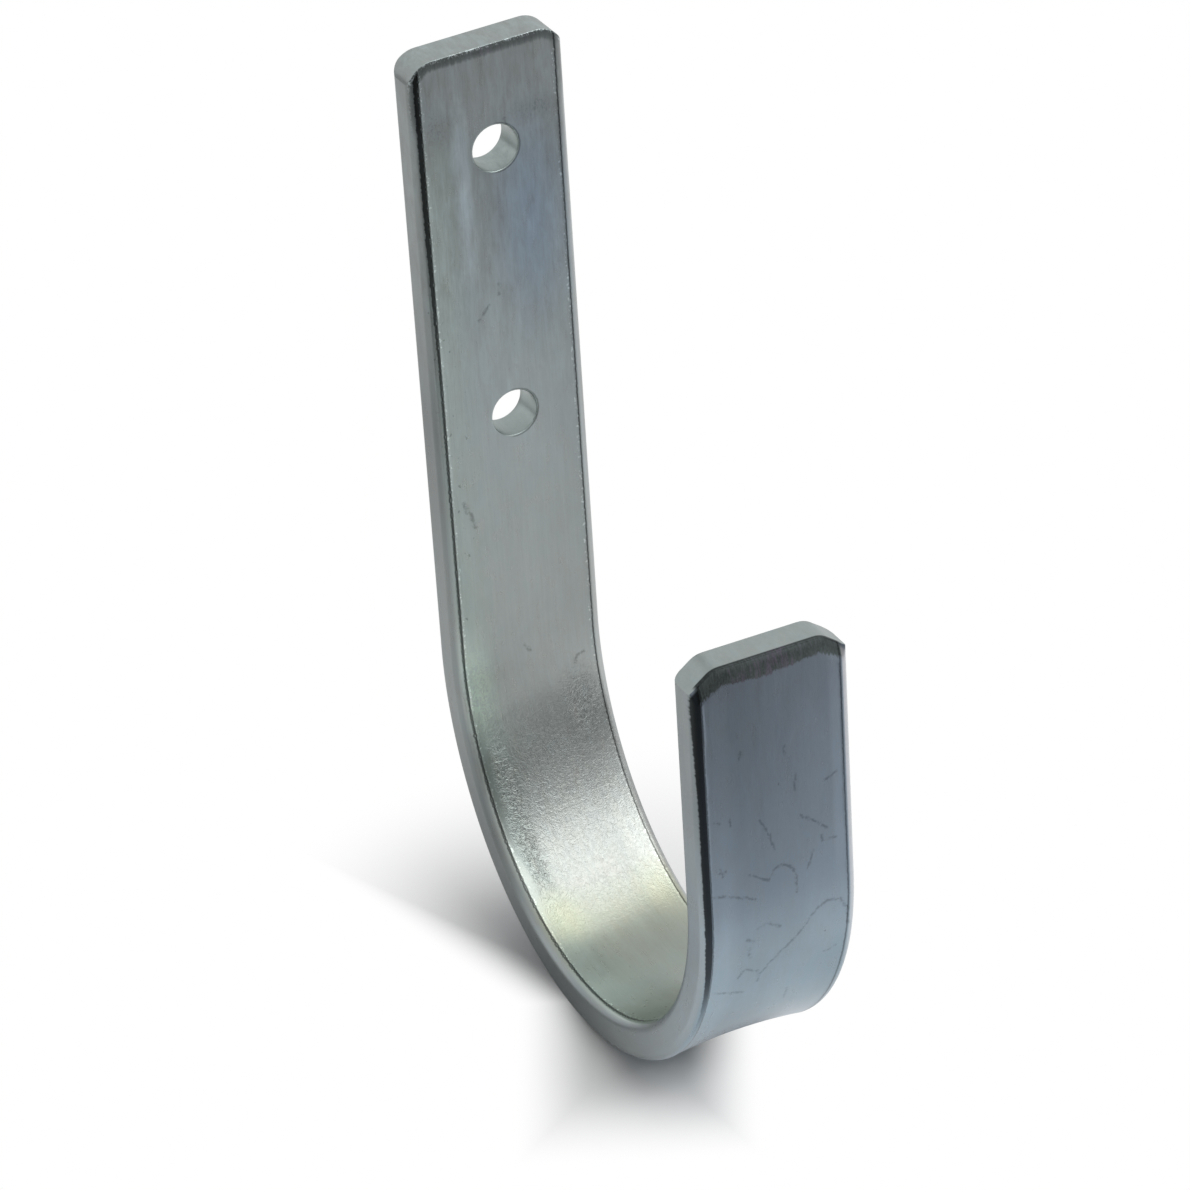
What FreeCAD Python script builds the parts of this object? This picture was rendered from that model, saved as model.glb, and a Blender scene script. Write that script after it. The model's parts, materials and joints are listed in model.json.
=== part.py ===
import FreeCAD, Part
import math
import os

from FreeCAD import Vector

# Garage utility hook: one length of flat steel bar with rolled edges, cropped
# to length, punched with two screw holes and bent cold into a J.
# Sizes are millimetres, angles are degrees. The wall face lies on y = 0, the
# hook opens towards -Y and +Z is up. The origin is midway between the two
# screw holes, on the wall face.

# Bar stock
bar_width = 25.0
bar_thickness = 6.0
edge_radius = 1.45

# Route of the bar, from the top end to the tip. Radii are on the inside.
shank_straight = 100.0
lead_radius = 41.0
lead_angle = 34.0
bend_radius = 36.5
tip_lean = 0.3
tip_straight = 41.0

# Screw holes, punched from the inner face and a little off the centre line
hole_diameter = 7.4
hole_pitch = 44.0
hole_top_margin = 16.5
hole_off_centre = 0.5
hole_rim_radius = 0.35
breakout_length = 2.0
breakout_widening = 0.15

# Top end: round corners, cropped slightly out of square
top_corner_radius = 4.25
top_out_of_square = 1.8
top_roll_length = 1.3
top_roll_depth = 0.3

# Tip end: clipped corners, blended into the end
tip_clip_width = 3.8
tip_clip_height = 2.8
tip_clip_blend = 3.5
tip_roll_length = 2.4
tip_roll_depth = 0.85

# The cropping die is a little wider than the bar, and its pull on the face
# starts at this angle.
die_side_gap = 0.15
roll_start_angle = 5.0

# Extra bar that is cropped away at each end, and how far cutters overrun
crop_allowance = 4.0
overrun = 1.0

top_z = hole_pitch / 2 + hole_top_margin
centre_x = -hole_off_centre
lead_centre_radius = lead_radius + bar_thickness / 2
bend_centre_radius = bend_radius + bar_thickness / 2


def heading(angle):
    """Direction of the bar once it has turned by this angle from straight down."""
    a = math.radians(angle)
    return Vector(0, -math.sin(a), -math.cos(a))


def inward(angle):
    """Direction from the bar's centre line to the inside of the bend."""
    a = math.radians(angle)
    return Vector(0, -math.cos(a), math.sin(a))


def turn(start, start_angle, end_angle, radius):
    """One arc of the centre line: its edge and the point where it ends."""
    centre = start + inward(start_angle) * radius
    middle = centre - inward((start_angle + end_angle) / 2) * radius
    end = centre - inward(end_angle) * radius
    return Part.Arc(start, middle, end).toShape(), end


def centre_line():
    """Centre line with the crop allowance at both ends, and the tip's end and angle."""
    top = Vector(centre_x, -bar_thickness / 2, top_z)
    bend_start = top + heading(0) * shank_straight
    tip_angle = 180 - tip_lean
    lead, lead_end = turn(bend_start, 0, lead_angle, lead_centre_radius)
    bend, bend_end = turn(lead_end, lead_angle, tip_angle, bend_centre_radius)
    tip_end = bend_end + heading(tip_angle) * tip_straight
    start = top - heading(0) * crop_allowance
    finish = tip_end + heading(tip_angle) * crop_allowance
    shank = Part.makeLine(start, bend_start)
    tip = Part.makeLine(bend_end, finish)
    return Part.Wire([shank, lead, bend, tip]), start, top, tip_end, tip_angle


def rounded_outline(points, radii):
    """Edges of a polygon in the XY plane with an arc of the given radius at each point."""
    count = len(points)
    stops = []
    for i, (corner, radius) in enumerate(zip(points, radii)):
        back = (points[i - 1] - corner).normalize()
        ahead = (points[(i + 1) % count] - corner).normalize()
        if radius == 0:
            stops.append((corner, None, corner))
            continue
        half = back.getAngle(ahead) / 2
        centre = corner + (back + ahead).normalize() * (radius / math.sin(half))
        reach = radius / math.tan(half)
        nearest = centre + (corner - centre).normalize() * radius
        stops.append((corner + back * reach, nearest, corner + ahead * reach))
    edges = []
    for i, (arc_start, nearest, arc_end) in enumerate(stops):
        if nearest:
            edges.append(Part.Arc(arc_start, nearest, arc_end).toShape())
        following = stops[(i + 1) % count][0]
        edges.append(Part.makeLine(arc_end, following))
    return edges


def bar_section(place):
    """Face of the bar's section: a rectangle with rolled edges, centred on a point."""
    half_x = bar_width / 2
    half_y = bar_thickness / 2
    corners = [
        place + Vector(-half_x, -half_y, 0),
        place + Vector(half_x, -half_y, 0),
        place + Vector(half_x, half_y, 0),
        place + Vector(-half_x, half_y, 0),
    ]
    return Part.Face(Part.Wire(rounded_outline(corners, [edge_radius] * 4)))


def top_die():
    """Outline of the top end in its own plane: +Y runs out of the bar's end."""
    side = bar_width / 2 + die_side_gap
    lean = side * math.tan(math.radians(top_out_of_square))
    foot = -top_corner_radius - 2 * lean - crop_allowance
    points = [
        Vector(-side, foot, 0),
        Vector(-side, -lean, 0),
        Vector(side, lean, 0),
        Vector(side, foot, 0),
    ]
    edges = rounded_outline(points, [0, top_corner_radius, top_corner_radius, 0])
    return edges, edges[1:4], foot


def tip_die():
    """Outline of the tip end in its own plane: +Y runs out of the bar's end."""
    side = bar_width / 2 + die_side_gap
    flat = bar_width / 2 - tip_clip_width
    drop = tip_clip_height * (side - flat) / tip_clip_width
    foot = -drop - crop_allowance
    points = [
        Vector(-side, foot, 0),
        Vector(-side, -drop, 0),
        Vector(-flat, 0, 0),
        Vector(flat, 0, 0),
        Vector(side, -drop, 0),
        Vector(side, foot, 0),
    ]
    edges = rounded_outline(points, [0, 0, tip_clip_blend, tip_clip_blend, 0, 0])
    return edges, edges[1:6], foot


def crop_waste(outline, foot):
    """What the cropping die removes: everything round and beyond the outline."""
    deep = bar_thickness / 2 + overrun
    kept = Part.Face(Part.Wire(outline)).extrude(Vector(0, 0, 2 * (deep + overrun)))
    kept.translate(Vector(0, 0, -deep - overrun))
    width = bar_width + 2 * (die_side_gap + overrun)
    length = crop_allowance + overrun - foot
    block = Part.makeBox(width, length, 2 * deep, Vector(-width / 2, foot, -deep))
    return block.cut(kept)


def roll_cutter(path, length, depth):
    """Cutter for the face that the die drags down along the end's outline."""
    start_angle = math.radians(roll_start_angle)
    rise = depth * math.cos(start_angle) - length * math.sin(start_angle)
    radius = (length**2 + depth**2) / (2 * rise)
    centre_in = length + radius * math.sin(start_angle)
    centre_down = radius * math.cos(start_angle)

    def on_roll(inset):
        sag = centre_down - math.sqrt(radius**2 - (centre_in - inset) ** 2)
        return inset, -sag

    # The arc runs on at both ends, by half the way to where it would level out.
    run_on = (centre_in - length) / 2
    outside = on_roll(-run_on)
    inside = on_roll(length + run_on)
    middle = on_roll(length / 2)
    first = path[0]
    origin = first.valueAt(first.FirstParameter)
    along = first.tangentAt(first.FirstParameter)
    inwards = Vector(0, 0, 1).cross(along) * -1

    def place(point):
        return origin + inwards * point[0] + Vector(0, 0, bar_thickness / 2 + point[1])

    above_inside = place((inside[0], overrun))
    above_outside = place((outside[0], overrun))
    profile = Part.Wire(
        [
            Part.Arc(place(outside), place(middle), place(inside)).toShape(),
            Part.makeLine(place(inside), above_inside),
            Part.makeLine(above_inside, above_outside),
            Part.makeLine(above_outside, place(outside)),
        ]
    )
    return Part.Wire(path).makePipe(Part.Face(profile))


def put_on_end(shape, end, out):
    """Moves a tool from its own plane to an end: +Y runs out of the bar, +Z to the front."""
    across = Vector(1, 0, 0)
    front = across.cross(out)
    shape.Placement = FreeCAD.Placement(
        FreeCAD.Matrix(
            across.x, out.x, front.x, end.x,
            across.y, out.y, front.y, end.y,
            across.z, out.z, front.z, end.z,
            0, 0, 0, 1,
        )
    )
    return shape


def crop_end(bar, die, roll_length, roll_depth, end, out):
    """Crops one end of the bar and drags its front face down along the cut."""
    outline, path, foot = die
    bar = bar.cut(put_on_end(crop_waste(outline, foot), end, out))
    return bar.cut(put_on_end(roll_cutter(path, roll_length, roll_depth), end, out))


def punch(height):
    """Punched hole: rounded rim on the inner face, wider breakout on the wall face."""
    radius = hole_diameter / 2
    rim = hole_rim_radius
    face = -bar_thickness
    belly = rim * (1 - math.cos(math.radians(45)))
    rim_in = Vector(radius, face + rim, 0)
    rim_middle = Vector(radius + belly, face + belly, 0)
    rim_out = Vector(radius + rim, face, 0)
    room_end = Vector(0, face - overrun, 0)
    room_side = Vector(radius + rim, face - overrun, 0)
    breakout_start = Vector(radius, -breakout_length, 0)
    slope = breakout_widening / breakout_length
    wall_end = Vector(0, overrun, 0)
    wall_side = Vector(radius + breakout_widening + slope * overrun, overrun, 0)
    profile = Part.Wire(
        [
            Part.makeLine(room_end, room_side),
            Part.makeLine(room_side, rim_out),
            Part.Arc(rim_out, rim_middle, rim_in).toShape(),
            Part.makeLine(rim_in, breakout_start),
            Part.makeLine(breakout_start, wall_side),
            Part.makeLine(wall_side, wall_end),
            Part.makeLine(wall_end, room_end),
        ]
    )
    tool = Part.Face(profile).revolve(Vector(0, 0, 0), Vector(0, 1, 0), 360)
    tool.translate(Vector(0, 0, height))
    return tool


def hook():
    """The whole hook: the swept bar, cropped at both ends and punched twice."""
    route, start, top, tip_end, tip_angle = centre_line()
    bar = route.makePipe(bar_section(start))
    bar = crop_end(bar, top_die(), top_roll_length, top_roll_depth, top, -heading(0))
    bar = crop_end(bar, tip_die(), tip_roll_length, tip_roll_depth, tip_end, heading(tip_angle))
    for height in (hole_pitch / 2, -hole_pitch / 2):
        bar = bar.cut(punch(height))
    return bar


os.makedirs("parts", exist_ok=True)
hook().exportStep("parts/hook.step")
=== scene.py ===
import json
import math

import bpy
import numpy as np
from mathutils import Matrix, Vector


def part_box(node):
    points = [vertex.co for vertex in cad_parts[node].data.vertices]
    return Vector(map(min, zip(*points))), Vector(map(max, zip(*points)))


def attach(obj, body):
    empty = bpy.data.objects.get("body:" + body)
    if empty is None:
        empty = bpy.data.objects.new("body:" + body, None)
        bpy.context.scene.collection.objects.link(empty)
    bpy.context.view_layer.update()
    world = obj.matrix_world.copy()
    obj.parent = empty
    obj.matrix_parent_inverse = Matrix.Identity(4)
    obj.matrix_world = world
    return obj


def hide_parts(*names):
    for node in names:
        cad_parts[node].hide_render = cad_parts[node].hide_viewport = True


# Garage utility hook: dresses the CAD node as zinc plated flat bar, and sets the
# photo's camera, floor and soft light. Objects are in metres, in the part's own
# frame. Sizes of the bar and places on it are in millimetres.

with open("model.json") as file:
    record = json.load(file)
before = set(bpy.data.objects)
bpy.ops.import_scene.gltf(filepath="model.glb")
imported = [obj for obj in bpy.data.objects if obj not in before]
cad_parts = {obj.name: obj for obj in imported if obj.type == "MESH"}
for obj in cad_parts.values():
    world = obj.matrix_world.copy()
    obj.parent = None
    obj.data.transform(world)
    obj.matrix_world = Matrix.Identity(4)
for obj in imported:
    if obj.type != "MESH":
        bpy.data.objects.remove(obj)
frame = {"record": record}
bpy.context.view_layer.update()
MM = 0.001


def in_mm(metres):
    """Millimetres to the nearest hundredth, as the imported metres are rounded."""
    return round(metres / MM, 2)


# From the frame: the bar's width and middle, and its screw holes
low_corner, high_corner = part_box("hook")
screw_holes = next(m for m in frame["record"]["mounts"] if m["name"] == "screw_holes")
BAR_WIDTH = in_mm(high_corner.x - low_corner.x)
BAR_CENTRE_X = in_mm((high_corner.x + low_corner.x) / 2)
HOLE_PITCH = screw_holes["dims"]["spacing_y_mm"]
HOLE_RADIUS = screw_holes["dims"]["hole_r_mm"]
HOLE_OFF_CENTRE = in_mm(screw_holes["pos_m"][0]) - BAR_CENTRE_X

# The bar's section and route, as in the CAD model, in millimetres and degrees
BAR_THICKNESS = 6.0
EDGE_RADIUS = 1.45
TOP_Z = 38.5
SHANK_LENGTH = 100.0
LEAD_LINE_RADIUS = 44.0
LEAD_ANGLE = 34.0
BEND_LINE_RADIUS = 39.5
TIP_ANGLE = 179.7
TIP_LENGTH = 41.0

# Its holes and cropped ends
BREAKOUT_LENGTH, BREAKOUT_WIDENING = 2.0, 0.15
TOP_CORNER = 4.25
TOP_LEAN = 1.8
TOP_ROLL_LENGTH, TOP_ROLL_DEPTH = 1.3, 0.3
TIP_CLIP_WIDTH, TIP_CLIP_HEIGHT = 3.8, 2.8
TIP_BLEND = 3.5
TIP_ROLL_LENGTH, TIP_ROLL_DEPTH = 2.4, 0.85
DIE_GAP = 0.15
ROLL_START = 5.0

# The main bend's centre, which the wider lead bend puts a little further down and out
RADIUS_STEP = LEAD_LINE_RADIUS - BEND_LINE_RADIUS
LEAD_TURN = math.radians(LEAD_ANGLE)
BEND_CENTRE_Y = RADIUS_STEP * math.cos(LEAD_TURN) - LEAD_LINE_RADIUS - BAR_THICKNESS / 2
BEND_CENTRE_Z = TOP_Z - SHANK_LENGTH - RADIUS_STEP * math.sin(LEAD_TURN)

# Both ends in the material's run along the bar, which is 0 level with that centre
TOP_ALONG = BEND_CENTRE_Z - TOP_Z
TIP_ALONG = math.radians(TIP_ANGLE) * BEND_LINE_RADIUS + TIP_LENGTH

# Marks that the CAD model leaves out: a bead inside each long edge, where the
# rolls left the faces slightly sunk, and the slight rounding of the cut edges
BEAD_HEIGHT = 0.03
BEAD_START, BEAD_END = 10.6, 11.05
BEAD_WANDER = 0.2
# Each border's two swings: how far apart they turn, their share and their seed
BEAD_SWINGS = [(1.3, 0.6, 31), (4.1, 0.4, 41)]
CUT_EDGE = 0.1
CUT_EDGE_FADE = (11.2, 12.3)
# The hole's rim, smaller than the solid's
HOLE_RIM = 0.2
# Bending a wide bar arches its section the other way, by this much at the middle
SADDLE = 0.85
SADDLE_BEFORE, SADDLE_AFTER = 6.0, 22.0

# How finely the bar's mesh is divided
STATION_STEP = 0.6
CORNER_STEPS = 10
MIDDLE_COLUMNS = [1.0, 2.0, 3.0, 4.0, 5.0, 6.0, 7.0, 7.5, 8.0, 8.5, 9.0, 9.5]
BEAD_COLUMNS = [9.9, 10.25, 10.5, 10.65, 10.8, 10.9, 11.0]
SIDE_STEPS = np.array([0.0, 0.03, 0.25, 0.5, 0.75, 0.97, 1.0])
END_ZONE = 8.0
END_STEPS = [
    0.0, 0.02, 0.06, 0.12, 0.2, 0.3, 0.45, 0.6, 0.8, 1.0, 1.3, 1.6,
    2.0, 2.4, 2.9, 3.4, 4.0, 4.7, 5.4, 6.2, 7.1,
]
# Half of the window round a hole, and the rings in it: their shares of the way out
# to its border, and their small distances from the edges
WINDOW = 5.5
RING_SHARES = (0.55, 0.2, 0.0)
RIM_MARGIN, BORE_MARGIN, WALL_MARGIN = 0.12, 0.05, 0.1
RIM_STEPS = 6
HALVINGS = 18
SHARP_ANGLE = 35.0

# Plate colours along the bar's inner face, its outer face and its sides. Their tints
# are the plate's, and their tones hold painted light and shade along the bar: darker
# at the shank's top and on the tip's outer face towards its end, lighter in the inner
# bend past its lowest point, and in darker and lighter bands down the sides where they
# mirror the floor
INNER_TINTS_AND_PAINTED_LIGHT = [
    (-102.5, (0.18, 0.198, 0.202)),
    (-93.0, (0.194, 0.217, 0.222)),
    (-84.0, (0.172, 0.194, 0.20)),
    (-73.0, (0.202, 0.228, 0.236)),
    (-62.0, (0.226, 0.258, 0.268)),
    (-40.0, (0.265, 0.296, 0.302)),
    (-10.0, (0.288, 0.314, 0.31)),
    (22.0, (0.288, 0.308, 0.30)),
    (40.0, (0.294, 0.308, 0.29)),
    (48.0, (0.288, 0.306, 0.256)),
    (56.0, (0.285, 0.312, 0.276)),
    (66.0, (0.292, 0.33, 0.306)),
    (80.0, (0.325, 0.37, 0.345)),
    (165.0, (0.28, 0.32, 0.305)),
]
OUTER_TINTS_AND_PAINTED_SHADE = [
    (-102.5, (0.27, 0.30, 0.31)),
    (60.0, (0.27, 0.31, 0.34)),
    (106.0, (0.228, 0.296, 0.345)),
    (116.0, (0.236, 0.292, 0.338)),
    (126.0, (0.182, 0.225, 0.27)),
    (150.0, (0.152, 0.184, 0.22)),
    (165.0, (0.13, 0.152, 0.182)),
]
SIDE_TINTS_AND_PAINTED_LIGHT = [
    (-102.5, (0.276, 0.302, 0.302)),
    (-62.0, (0.236, 0.258, 0.258)),
    (-42.0, (0.18, 0.197, 0.198)),
    (-14.0, (0.24, 0.264, 0.264)),
    (6.0, (0.254, 0.28, 0.28)),
    (14.0, (0.218, 0.24, 0.24)),
    (21.0, (0.18, 0.199, 0.199)),
    (28.0, (0.16, 0.177, 0.177)),
    (35.0, (0.172, 0.19, 0.19)),
    (41.5, (0.24, 0.265, 0.267)),
    (48.0, (0.294, 0.324, 0.327)),
    (55.0, (0.284, 0.313, 0.316)),
    (63.0, (0.236, 0.261, 0.263)),
    (84.0, (0.262, 0.294, 0.302)),
    (102.0, (0.30, 0.352, 0.382)),
    (122.0, (0.31, 0.366, 0.40)),
    (142.0, (0.216, 0.246, 0.258)),
    (165.0, (0.232, 0.262, 0.268)),
]
END_COLOUR = (0.292, 0.33, 0.326)
BORE_COLOUR = (0.30, 0.35, 0.34)
UPPER_BLUE = (0.158, 0.204, 0.256)
LEFT_GREEN = (0.272, 0.322, 0.30)
# Colour of the painted sheen down the upper shank
PAINTED_SHEEN_COLOUR = (0.285, 0.335, 0.365)
BEND_YELLOW = (0.335, 0.352, 0.258)
SCUFF_GREEN = (0.088, 0.104, 0.104)
SCUFF_VIOLET = (0.108, 0.10, 0.128)
# Colour of the painted highlight along the right edge
EDGE_HIGHLIGHT_COLOUR = (0.29, 0.28, 0.28)
VEIN_GAIN = (1.13, 1.19, 1.09)

# Painted light on a face, in zones that stand in for its highlights (one is painted
# shade, a little darker): from where to where it grows across the bar, its start
# and end along the bar, how soft they are, and how much lighter it is
WHOLE_WIDTH = (-2 * BAR_WIDTH, -BAR_WIDTH)
BEYOND = 2 * TIP_ALONG
INNER_PAINTED_LIGHT = [
    ((-5.0, -11.0), (-6.0, 12.0), 6.0, 0.36),
    ((-5.0, -11.0), (14.0, 34.0), 5.0, -0.04),
    ((5.0, 10.5), (16.0, 56.0), 6.0, 0.22),
    ((2.0, -10.0), (58.0, BEYOND), 6.0, 0.24),
    ((3.0, -9.0), (5.0, 16.0), 4.0, 0.35),
    (WHOLE_WIDTH, (4.5, 12.5), 3.5, 0.14),
    ((2.0, -9.0), (4.5, 12.5), 3.5, 0.16),
    ((3.0, -6.0), (70.0, BEYOND), 4.0, 0.18),
]
OUTER_PAINTED_LIGHT = [
    ((-5.5, -9.0), (-BEYOND, BEYOND), 1.0, 0.16),
    ((1.0, 6.0), (112.0, 130.0), 6.0, 0.10),
]

# The crease inside each long edge, by distance from the bar's middle
CREASE_X = 11.0

# Hairlines and nicks, as chains of (across, along the bar)
TIP_SCRATCHES = [
    [(-5.4, 150.9), (-5.5, 149.4)],
    [(1.6, 149.4), (1.5, 148.0)],
    [(3.1, 144.2), (3.0, 141.7)],
    [(7.9, 141.8), (9.6, 142.6)],
    [(3.6, 137.3), (5.5, 135.8), (8.0, 133.5)],
    [(-2.8, 138.6), (-1.6, 136.2), (-0.6, 132.8)],
    [(-9.9, 140.6), (-9.2, 140.2)],
    [(-7.6, 140.2), (-7.3, 139.2)],
    [(6.9, 132.6), (7.2, 131.7), (9.2, 131.6)],
    [(-9.4, 132.5), (-9.0, 131.1)],
    [(-9.6, 131.9), (-8.6, 131.7)],
    [(5.4, 130.4), (4.6, 128.0)],
    [(-4.8, 129.9), (-1.7, 128.1), (-0.8, 129.8), (0.4, 130.0), (1.8, 129.2), (2.6, 127.6), (2.6, 124.4)],
    [(-11.0, 128.4), (-8.2, 127.2), (-4.2, 125.6)],
    [(-3.6, 120.3), (-2.3, 120.9), (0.0, 119.5)],
    [(-5.3, 119.0), (-4.4, 118.5)],
    [(-4.9, 117.4), (-4.6, 115.5)],
    [(11.2, 115.9), (10.9, 119.0), (9.6, 120.9), (7.6, 121.3), (6.3, 120.8), (5.0, 119.6),
     (3.6, 117.8), (1.2, 115.2), (-1.1, 112.9), (-2.5, 111.2), (-2.6, 109.6)],
    [(-6.2, 111.9), (-5.9, 112.9), (-5.2, 113.3), (-3.2, 112.3), (-2.5, 111.2)],
    [(8.0, 111.6), (9.7, 112.2)],
    [(-9.9, 110.5), (-4.7, 107.8)],
    [(3.2, 104.3), (3.5, 101.3)],
]
INNER_SCRATCHES = [
    [(-4.2, -59.0), (-2.4, -61.0)],
    [(-0.6, -64.0), (-0.7, -62.4)],
    [(-9.0, -29.4), (-8.6, -27.4)],
    [(-8.5, -28.4), (-7.9, -26.4)],
    [(-8.0, -27.2), (-7.5, -24.6)],
    [(-0.7, -1.7), (0.1, -0.6)],
    [(7.2, 3.9), (7.8, 2.7), (8.9, 2.3)],
    [(2.2, -90.3), (2.4, -89.2)],
]

# The floor's width and its gap to the hook's lowest point, in metres, and its shade
FLOOR_SIZE = 8.0
FLOOR_GAP = 0.00002
FLOOR_PALE = 0.8
# Where it goes to the backdrop's white, in millimetres from the hook's foot:
# all round, and on the camera's right, its left and its own side
WHITE_NEAR, WHITE_FAR = 22.0, 75.0
WHITE_RIGHT_NEAR, WHITE_RIGHT_FAR = 3.0, 15.0
WHITE_LEFT_NEAR, WHITE_LEFT_FAR = 10.0, 22.0
WHITE_FRONT_NEAR, WHITE_FRONT_FAR = 22.0, 42.0
# Behind the foot the left border moves out by this share of the way back
WHITE_LEFT_SPREAD = 0.77
# The painted dark side of the floor, which only reflections show, in millimetres and radians
DARK_LEFT = 0.42
DARK_NEAR, DARK_FAR = (80.0, 180.0), (330.0, 230.0)
DARK_HALF, DARK_SOFT = 0.68, 0.08
DARK_DEPTH = 0.9
# The even light of the world, and the dark room behind the camera
WORLD_LIGHT = 0.335
ROOM_AZIMUTH = 172.0
ROOM_DEPTH = 0.62

# Where both lamps point, in metres
LAMP_TARGET = Vector((0, -0.04, -0.06))

# The camera as fitted to the photo with the hook's size: metres, degrees and pixels
CAMERA_PLACE = (-0.307429, -0.678978, 0.383550)
CAMERA_AZIMUTH, CAMERA_ELEVATION = 25.3368, -30.6327
CAMERA_ROLL = -3.7763
FOCAL_PIXELS = 5638.2
PHOTO_PIXELS = 1190.0
SENSOR_WIDTH = 36.0


# The bar's route and section


def heading(angle):
    """(y, z) of the bar's direction once it has turned by this angle from straight down."""
    a = np.radians(angle)
    return np.array([-np.sin(a), -np.cos(a)])


def inward(angle):
    """(y, z) of the direction to the inside of the bend."""
    a = np.radians(angle)
    return np.array([-np.cos(a), np.sin(a)])


class Route:
    """The bar's centre line, by millimetres run from its top end."""

    def __init__(self):
        lead = LEAD_TURN * LEAD_LINE_RADIUS
        bend = math.radians(TIP_ANGLE - LEAD_ANGLE) * BEND_LINE_RADIUS
        self.runs = []
        self.length = 0.0
        at = np.array([-BAR_THICKNESS / 2, TOP_Z])
        at = self.add(at, 0.0, SHANK_LENGTH, None)
        at = self.add(at, 0.0, lead, LEAD_LINE_RADIUS)
        at = self.add(at, LEAD_ANGLE, bend, BEND_LINE_RADIUS)
        self.tip_start = self.length
        self.add(at, TIP_ANGLE, TIP_LENGTH, None)

    def add(self, at, angle, length, radius):
        """Adds a straight run or a bend, and returns the place where it ends."""
        self.runs.append((self.length, at, angle, radius))
        self.length += length
        place, _ = self.follow(self.runs[-1], np.array([self.length]))
        return place[:, 0]

    @staticmethod
    def follow(run, along):
        """Places on one run, and the bar's angle there."""
        begin, at, angle, radius = run
        if radius is None:
            line = at[:, None] + heading(angle)[:, None] * (along - begin)
            return line, np.full(along.shape, angle)
        turned = angle + np.degrees((along - begin) / radius)
        centre = at + inward(angle) * radius
        return centre[:, None] - inward(turned) * radius, turned

    def place(self, along, depth):
        """(y, z) from the run along the bar and the depth from its outer face."""
        begins = [run[0] for run in self.runs[1:]]
        which = np.searchsorted(begins, along, side="right")
        out = np.zeros((2, len(along)))
        for index, run in enumerate(self.runs):
            here = which == index
            line, turned = self.follow(run, along[here])
            out[:, here] = line + inward(turned) * (depth[here] - BAR_THICKNESS / 2)
        return out


def section():
    """Points round the bar's section: across, depth, and how far each faces in or out.

    Also says how many points lie on a face, and on half of the section.
    """
    flat = BAR_WIDTH / 2 - EDGE_RADIUS
    half = np.array(MIDDLE_COLUMNS + BEAD_COLUMNS + [flat])
    face = np.concatenate([-half[::-1], [0.0], half])
    turns = np.radians(np.arange(1, CORNER_STEPS) * 90.0 / CORNER_STEPS)
    side = EDGE_RADIUS + (BAR_THICKNESS - 2 * EDGE_RADIUS) * SIDE_STEPS
    corner_x = flat + EDGE_RADIUS * np.sin(turns)
    corner_d = EDGE_RADIUS * (1 - np.cos(turns))
    # Inner face left to right, right side inner to outer; the other half mirrors both
    x = [face, corner_x, np.full(side.shape, BAR_WIDTH / 2), corner_x[::-1]]
    d = [np.full(face.shape, BAR_THICKNESS), BAR_THICKNESS - corner_d, side[::-1], corner_d[::-1]]
    facing = [np.ones(face.shape), np.cos(turns), np.zeros(side.shape), -np.cos(turns[::-1])]
    x, d, facing = [np.concatenate(v) for v in (x, d, facing)]
    across = np.concatenate([x, -x])
    depth = np.concatenate([d, BAR_THICKNESS - d])
    return across, depth, np.concatenate([facing, -facing]), len(face), len(x)


# Shapes of the cropped ends and of the marks on the faces


def top_outline(x, inset):
    """How far down from the nominal top end the cropped outline lies, at an inset."""
    lean = math.radians(TOP_LEAN)
    radius = TOP_CORNER - inset
    centre_x = BAR_WIDTH / 2 + DIE_GAP - TOP_CORNER
    out = x * math.tan(lean) - inset / math.cos(lean)
    for side in (-1, 1):
        centre = side * centre_x
        centre_up = centre * math.tan(lean) - TOP_CORNER / math.cos(lean)
        reach = np.maximum(radius**2 - (x - centre) ** 2, 0.0)
        beyond = (x - centre + radius * math.sin(lean)) * side > 0
        out = np.where(beyond, centre_up + np.sqrt(reach), out)
    return -out


def tip_outline(x, inset):
    """The same for the tip, with its clipped and blended corners."""
    flat = BAR_WIDTH / 2 - TIP_CLIP_WIDTH
    slope = TIP_CLIP_HEIGHT / TIP_CLIP_WIDTH
    turn = math.atan(slope)
    centre = flat - TIP_BLEND * math.tan(turn / 2)
    radius = TIP_BLEND - inset
    across = np.abs(x)
    arc = -TIP_BLEND + np.sqrt(np.maximum(radius**2 - (across - centre) ** 2, 0.0))
    clip = -slope * (across - flat) - inset / math.cos(turn)
    out = np.where(across < centre, -inset, arc)
    return -np.where(across > centre + radius * math.sin(turn), clip, out)


def inset_of(outline, x, down, most):
    """Distance in from a cropped outline, found by halving, up to the most."""
    below, above = np.zeros(x.shape), np.full(x.shape, most)
    for _ in range(HALVINGS):
        middle = (below + above) / 2
        inside = outline(x, middle) < down
        below, above = np.where(inside, middle, below), np.where(inside, above, middle)
    return below


def roll_sag(inset, length, depth):
    """How far the cropping die dragged the face down, by distance in from the cut."""
    start = math.radians(ROLL_START)
    rise = depth * math.cos(start) - length * math.sin(start)
    radius = (length**2 + depth**2) / (2 * rise)
    within = radius * math.sin(start) + length - inset
    sag = radius * math.cos(start) - np.sqrt(np.maximum(radius**2 - within**2, 0.0))
    return np.where(inset < length, np.maximum(sag, 0.0), 0.0)


def edge_round(inset, radius):
    """How far a rounded edge lies below the face, by distance in from the cut."""
    share = np.clip(1.0 - inset / np.maximum(radius, 1e-6), 0.0, 1.0)
    return radius * (1.0 - np.sqrt(1.0 - share**2))


def smooth_step(value, start, end):
    """Goes smoothly from 0 to 1 as the value goes from start to end."""
    t = np.clip((value - start) / (end - start), 0.0, 1.0)
    return t * t * (3 - 2 * t)


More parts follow.
